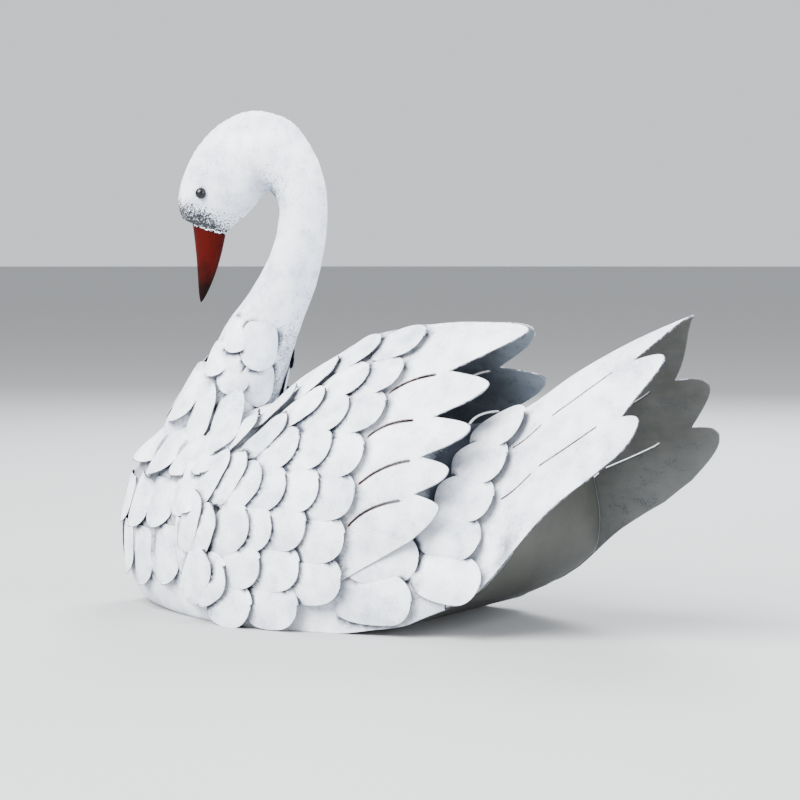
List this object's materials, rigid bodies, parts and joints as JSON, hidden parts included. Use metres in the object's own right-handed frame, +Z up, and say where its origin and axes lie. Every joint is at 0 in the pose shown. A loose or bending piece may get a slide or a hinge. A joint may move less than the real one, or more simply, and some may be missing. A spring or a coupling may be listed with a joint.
{
  "type": "metal swan garden ornament",
  "caption": "Hollow sheet-metal garden ornament of a swan, head bowed over a hooked neck, with cut wing and tail feathers, overlapping scale plates, white paint and a red beak.",
  "frame": {"origin": "on the ground, under the middle of the bounding box", "axes": "+Z up; -X is the way the swan faces; its left side is -Y"},
  "size_m": [0.4902, 0.2216, 0.383],
  "materials": {
    "white_paint": "weathered white paint on steel sheet, satin",
    "scale_paint": "weathered white paint on thin steel scale plates, dark rusty edges, satin",
    "beak_red": "dark red paint, satin, darker at the tip",
    "eye_black": "glossy black bead"
  },
  "bodies": {
    "root": {"body_shell": "white_paint", "belly_plate": "white_paint", "tail": "white_paint", "neck": "white_paint", "head": "white_paint", "wing_left": "white_paint", "wing_right": "white_paint", "beak": "beak_red", "eye_left": "eye_black", "eye_right": "eye_black", "wing_left_scales_1": "scale_paint", "wing_left_scales_2": "scale_paint", "wing_left_scales_3": "scale_paint", "wing_left_scales_4": "scale_paint", "wing_left_scales_5": "scale_paint", "wing_left_scales_6": "scale_paint", "wing_right_scales_1": "scale_paint", "wing_right_scales_2": "scale_paint", "wing_right_scales_3": "scale_paint", "wing_right_scales_4": "scale_paint", "wing_right_scales_5": "scale_paint", "wing_right_scales_6": "scale_paint", "rear_left_scales_1": "scale_paint", "rear_left_scales_2": "scale_paint", "rear_right_scales_1": "scale_paint", "rear_right_scales_2": "scale_paint", "neck_scales_1": "scale_paint", "neck_scales_2": "scale_paint", "neck_scales_3": "scale_paint", "breast_scales_1": "scale_paint", "breast_scales_2": "scale_paint", "breast_scales_3": "scale_paint"}
  },
  "joints": []
}
